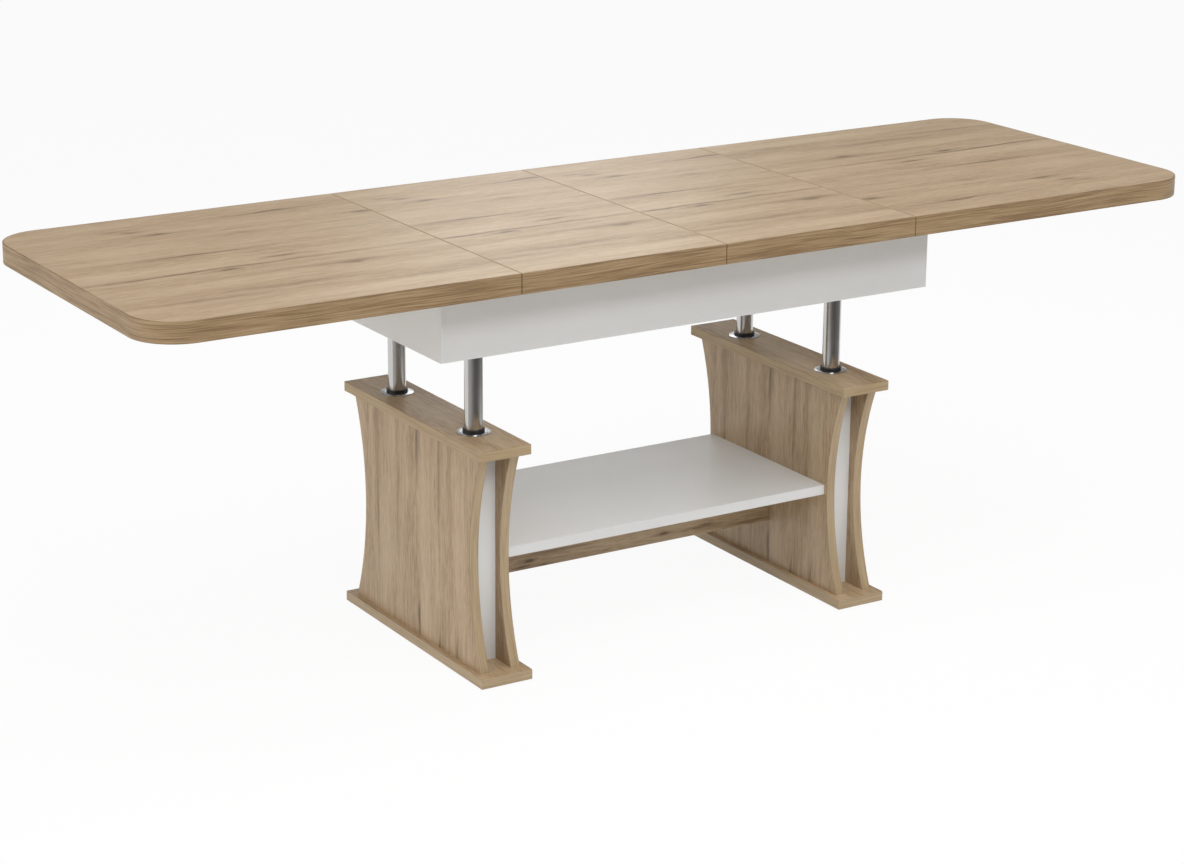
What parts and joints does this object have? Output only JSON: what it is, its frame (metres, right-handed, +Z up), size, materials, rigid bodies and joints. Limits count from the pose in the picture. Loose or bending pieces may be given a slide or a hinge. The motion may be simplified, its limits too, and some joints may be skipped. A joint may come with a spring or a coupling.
{
  "type": "coffee table",
  "caption": "Lift-up extending coffee table: oak-look leaves and lift-out inserts over a white apron, on steel columns rising from hourglass pedestals joined by a shelf and rail.",
  "frame": {"origin": "on the floor under the middle of the top", "axes": "+X along the top, to the right; +Y to the rear; +Z up"},
  "size_m": [2.1, 0.68, 0.75],
  "materials": {
    "oak_laminate": "matt oak-look laminate",
    "oak_edge_band": "matt oak-look edge band",
    "white_laminate": "satin white laminate",
    "satin_steel": "satin",
    "bright_chrome": "polished",
    "zinc_steel": "zinc plated",
    "black_plastic": "moulded",
    "beech": "plain sanded",
    "felt": "pressed felt",
    "black_steel": "satin black"
  },
  "bodies": {
    "base": {"collar_bushes": "black_plastic", "collar_rings": "bright_chrome", "foot_glides": "felt", "foot_screws": "zinc_steel", "gas_spring_brackets": "zinc_steel", "guide_blocks": "black_plastic", "guide_screws": "zinc_steel", "left_cap_plate": "oak_laminate", "left_foot_plate": "oak_laminate", "left_gas_spring_rod": "zinc_steel", "left_leg_front_panel": "white_laminate", "left_leg_inner_board": "oak_laminate", "left_leg_outer_board": "oak_laminate", "left_leg_rear_panel": "white_laminate", "pedestal_dowels": "beech", "right_cap_plate": "oak_laminate", "right_foot_plate": "oak_laminate", "right_gas_spring_rod": "zinc_steel", "right_leg_front_panel": "white_laminate", "right_leg_inner_board": "oak_laminate", "right_leg_outer_board": "oak_laminate", "right_leg_rear_panel": "white_laminate", "shelf": "white_laminate", "stretcher_rail": "oak_laminate"},
    "upper_frame": {"apron_dowels": "beech", "apron_floor": "white_laminate", "apron_front_board": "white_laminate", "apron_left_board": "white_laminate", "apron_rear_board": "white_laminate", "apron_right_board": "white_laminate", "column_flanges": "zinc_steel", "flange_screws": "zinc_steel", "left_front_column": "satin_steel", "left_gas_spring_cylinder": "black_steel", "left_lift_yoke": "zinc_steel", "left_rear_column": "satin_steel", "right_front_column": "satin_steel", "right_gas_spring_cylinder": "black_steel", "right_lift_yoke": "zinc_steel", "right_rear_column": "satin_steel", "slide_outer_members": "zinc_steel", "yoke_nuts": "zinc_steel"},
    "left_slide_middle": {"left_slide_middle_members": "zinc_steel"},
    "right_slide_middle": {"right_slide_middle_members": "zinc_steel"},
    "left_leaf": {"left_hanger_screws": "zinc_steel", "left_leaf_board": "oak_laminate", "left_leaf_edge_band": "oak_edge_band", "left_leaf_hangers": "beech", "left_slide_inner_members": "zinc_steel"},
    "right_leaf": {"right_hanger_screws": "zinc_steel", "right_leaf_board": "oak_laminate", "right_leaf_edge_band": "oak_edge_band", "right_leaf_hangers": "beech", "right_slide_inner_members": "zinc_steel"},
    "left_insert": {"left_insert_board": "oak_laminate", "left_insert_edge_band": "oak_edge_band", "left_insert_pegs": "beech"},
    "right_insert": {"right_insert_board": "oak_laminate", "right_insert_edge_band": "oak_edge_band", "right_insert_pegs": "beech"}
  },
  "joints": [
    {"name": "top_lift", "type": "slide", "parent": "base", "child": "upper_frame", "axis": [0, 0, 1], "range_m": [-0.15, 0]},
    {"name": "left_leaf_slide", "type": "slide", "parent": "upper_frame", "child": "left_leaf", "axis": [-1, 0, 0], "range_m": [0, 0.05]},
    {"name": "left_slide_middle_travel", "type": "slide", "parent": "upper_frame", "child": "left_slide_middle", "axis": [-1, 0, 0], "range_m": [0, 0.025]},
    {"name": "left_insert_lift", "type": "slide", "parent": "upper_frame", "child": "left_insert", "axis": [0, 0, 1], "range_m": [0, 0.2]},
    {"name": "right_leaf_slide", "type": "slide", "parent": "upper_frame", "child": "right_leaf", "axis": [1, 0, 0], "range_m": [0, 0.05]},
    {"name": "right_slide_middle_travel", "type": "slide", "parent": "upper_frame", "child": "right_slide_middle", "axis": [1, 0, 0], "range_m": [0, 0.025]},
    {"name": "right_insert_lift", "type": "slide", "parent": "upper_frame", "child": "right_insert", "axis": [0, 0, 1], "range_m": [0, 0.2]}
  ],
  "couplings": [
    {"joint": "left_slide_middle_travel", "follows": "left_leaf_slide", "ratio": 0.5},
    {"joint": "right_slide_middle_travel", "follows": "right_leaf_slide", "ratio": 0.5}
  ]
}
